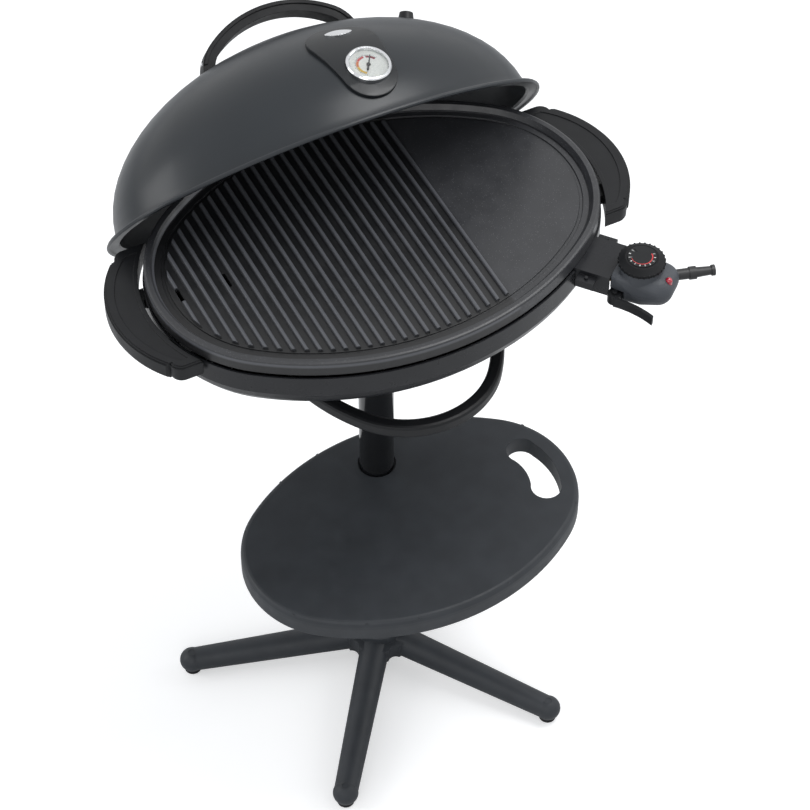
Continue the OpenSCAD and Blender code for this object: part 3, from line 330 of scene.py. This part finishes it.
# Print on the thermometer's dial: four coloured arcs, a thin scale line and its ticks
DIAL_Z = 3.6
INK = 0.06
ARC_IN, ARC_OUT = 11.2, 14.0
SCALE_START, SCALE_END, SCALE_STEP = 240, 30, 7.5
DIAL_TICKS = 29
gm = gauge_matrix()
for name, mat, a0, a1 in (("dial_arc_warm", "print_yellow", 236, 178),
                          ("dial_arc_low", "print_orange", 176, 138),
                          ("dial_arc_high", "print_red", 136, 92),
                          ("dial_arc_hot", "print_dark_red", 80, 30)):
    b = bmesh.new()
    ring_sector(b, ARC_IN, ARC_OUT, a0, a1, DIAL_Z, INK)
    new_object(name, placed(b, gm), PRINT[mat], "lid")
b = bmesh.new()
for i in range(DIAL_TICKS):
    a = SCALE_START - i * SCALE_STEP
    long = i % 4 == 0
    ring_sector(b, 14.4, 16.6 if long else 15.6, a - 0.7, a + 0.7, DIAL_Z, INK, 1)
ring_sector(b, 14.3, 14.5, SCALE_START, SCALE_END, DIAL_Z, INK)
new_object("dial_ticks", placed(b, gm), PRINT["print_black"], "lid")

# Print on the knob's disc: ticks all the way round, and a red band that grows with the heat
TICK_OUT = 15.4
BAND_OUT, BAND_LINE = 12.4, 12.2
BAND_STEPS = 28
km = Matrix.Translation(at_socket(SOCKET_REACH + KNOB_S, 0, DISC_TOP)) @ Matrix.Rotation(SOCKET_TURN, 4, "Z")
b = bmesh.new()
for i in range(11):
    a = 160 + i * 24
    ring_sector(b, 13.2, TICK_OUT, a - 2.2, a + 2.2, 0, INK, 1)
    if i % 2 == 0:
        ring_sector(b, 11.6, TICK_OUT, a - 0.9, a + 0.9, 0, INK, 1)
new_object("knob_ticks", placed(b, km), PRINT["print_white"], "knob")
b = bmesh.new()
rows = []
for i in range(BAND_STEPS + 1):
    a = math.radians(215 + 190 * i / BAND_STEPS)
    w = 0.25 + 1.1 * i / BAND_STEPS
    corners = ((BAND_LINE - w, 0), (BAND_OUT, 0), (BAND_OUT, INK), (BAND_LINE - w, INK))
    rows.append([b.verts.new((r * math.cos(a), r * math.sin(a), h)) for r, h in corners])
skin_rows(b, rows)
new_object("knob_heat_band", placed(b, km), PRINT["print_red"], "knob")


# ---- light, floor and camera ----

SKY_TINT, SKY_LIGHT = (0.93, 0.96, 1.0, 1), 0.55
FLOOR_HALF = 6
FLOOR_GREY, FLOOR_GLOW = 0.86, 0.42
CAMERA_AT, CAMERA_LENS, CAMERA_SENSOR = (-0.9831, -2.0447, 3.1051), 127.0, 36
CAMERA_DOWN, CAMERA_TURN = 49.04, -26.56


def studio():
    """White to the camera and in mirrors, a soft pale sky for the light, four lamps and a plain floor."""
    w = bpy.data.worlds.new("studio")
    bpy.context.scene.world = w
    w.use_nodes = True
    nt = w.node_tree
    nt.nodes.clear()
    out = nt.nodes.new("ShaderNodeOutputWorld")
    soft = nt.nodes.new("ShaderNodeBackground")
    soft.inputs[0].default_value = SKY_TINT
    soft.inputs[1].default_value = SKY_LIGHT
    white = nt.nodes.new("ShaderNodeBackground")
    white.inputs[0].default_value = (1, 1, 1, 1)
    white.inputs[1].default_value = 1.0
    lp = nt.nodes.new("ShaderNodeLightPath")
    mx = nt.nodes.new("ShaderNodeMixShader")
    seen = lp.outputs["Is Camera Ray"]
    for ray in ("Is Glossy Ray", "Is Transmission Ray"):
        add = nt.nodes.new("ShaderNodeMath")
        add.operation = "ADD"
        add.use_clamp = True
        nt.links.new(seen, add.inputs[0])
        nt.links.new(lp.outputs[ray], add.inputs[1])
        seen = add.outputs[0]
    nt.links.new(seen, mx.inputs[0])
    nt.links.new(soft.outputs[0], mx.inputs[1])
    nt.links.new(white.outputs[0], mx.inputs[2])
    nt.links.new(mx.outputs[0], out.inputs[0])

    def lamp(name, at, to, size, power):
        d = bpy.data.lights.new(name, "AREA")
        d.energy = power
        d.size = size
        o = bpy.data.objects.new(name, d)
        bpy.context.scene.collection.objects.link(o)
        o.location = at
        o.rotation_euler = (Vector(to) - Vector(at)).to_track_quat("-Z", "Y").to_euler()
    lamp("key", (0.8, -0.2, 2.5), (0.05, 0, 0.8), 1.0, 22)
    lamp("front", (-1.5, -1.8, 2.0), (0, 0, 0.6), 1.6, 12)
    lamp("left", (-2.2, 0.9, 1.5), (0, 0.1, 0.8), 1.4, 16)
    lamp("right", (2.2, -0.6, 1.7), (0, 0, 0.7), 1.4, 10)

    bm = bmesh.new()
    bmesh.ops.create_grid(bm, x_segments=1, y_segments=1, size=FLOOR_HALF)
    me = bpy.data.meshes.new("floor")
    bm.to_mesh(me)
    bm.free()
    fl = bpy.data.objects.new("floor", me)
    bpy.context.scene.collection.objects.link(fl)
    m = bpy.data.materials.new("floor")
    m.use_nodes = True
    nt = m.node_tree
    nt.nodes.clear()
    out = nt.nodes.new("ShaderNodeOutputMaterial")
    d = nt.nodes.new("ShaderNodeBsdfDiffuse")
    d.inputs[0].default_value = (FLOOR_GREY, FLOOR_GREY, FLOOR_GREY, 1)
    e = nt.nodes.new("ShaderNodeEmission")
    e.inputs[0].default_value = (1, 1, 1, 1)
    e.inputs[1].default_value = FLOOR_GLOW
    both = nt.nodes.new("ShaderNodeAddShader")
    nt.links.new(d.outputs[0], both.inputs[0])
    nt.links.new(e.outputs[0], both.inputs[1])
    lp = nt.nodes.new("ShaderNodeLightPath")
    mx = nt.nodes.new("ShaderNodeMixShader")
    nt.links.new(lp.outputs["Is Camera Ray"], mx.inputs[0])
    nt.links.new(d.outputs[0], mx.inputs[1])
    nt.links.new(both.outputs[0], mx.inputs[2])
    nt.links.new(mx.outputs[0], out.inputs[0])
    me.materials.append(m)


def camera():
    d = bpy.data.cameras.new("camera")
    d.sensor_width = CAMERA_SENSOR
    d.lens = CAMERA_LENS
    d.clip_end = 50
    o = bpy.data.objects.new("camera", d)
    bpy.context.scene.collection.objects.link(o)
    o.location = CAMERA_AT
    o.rotation_euler = (math.radians(90 - CAMERA_DOWN), 0, math.radians(CAMERA_TURN))
    bpy.context.scene.camera = o


studio()
camera()
bpy.context.scene.view_settings.view_transform = "Standard"
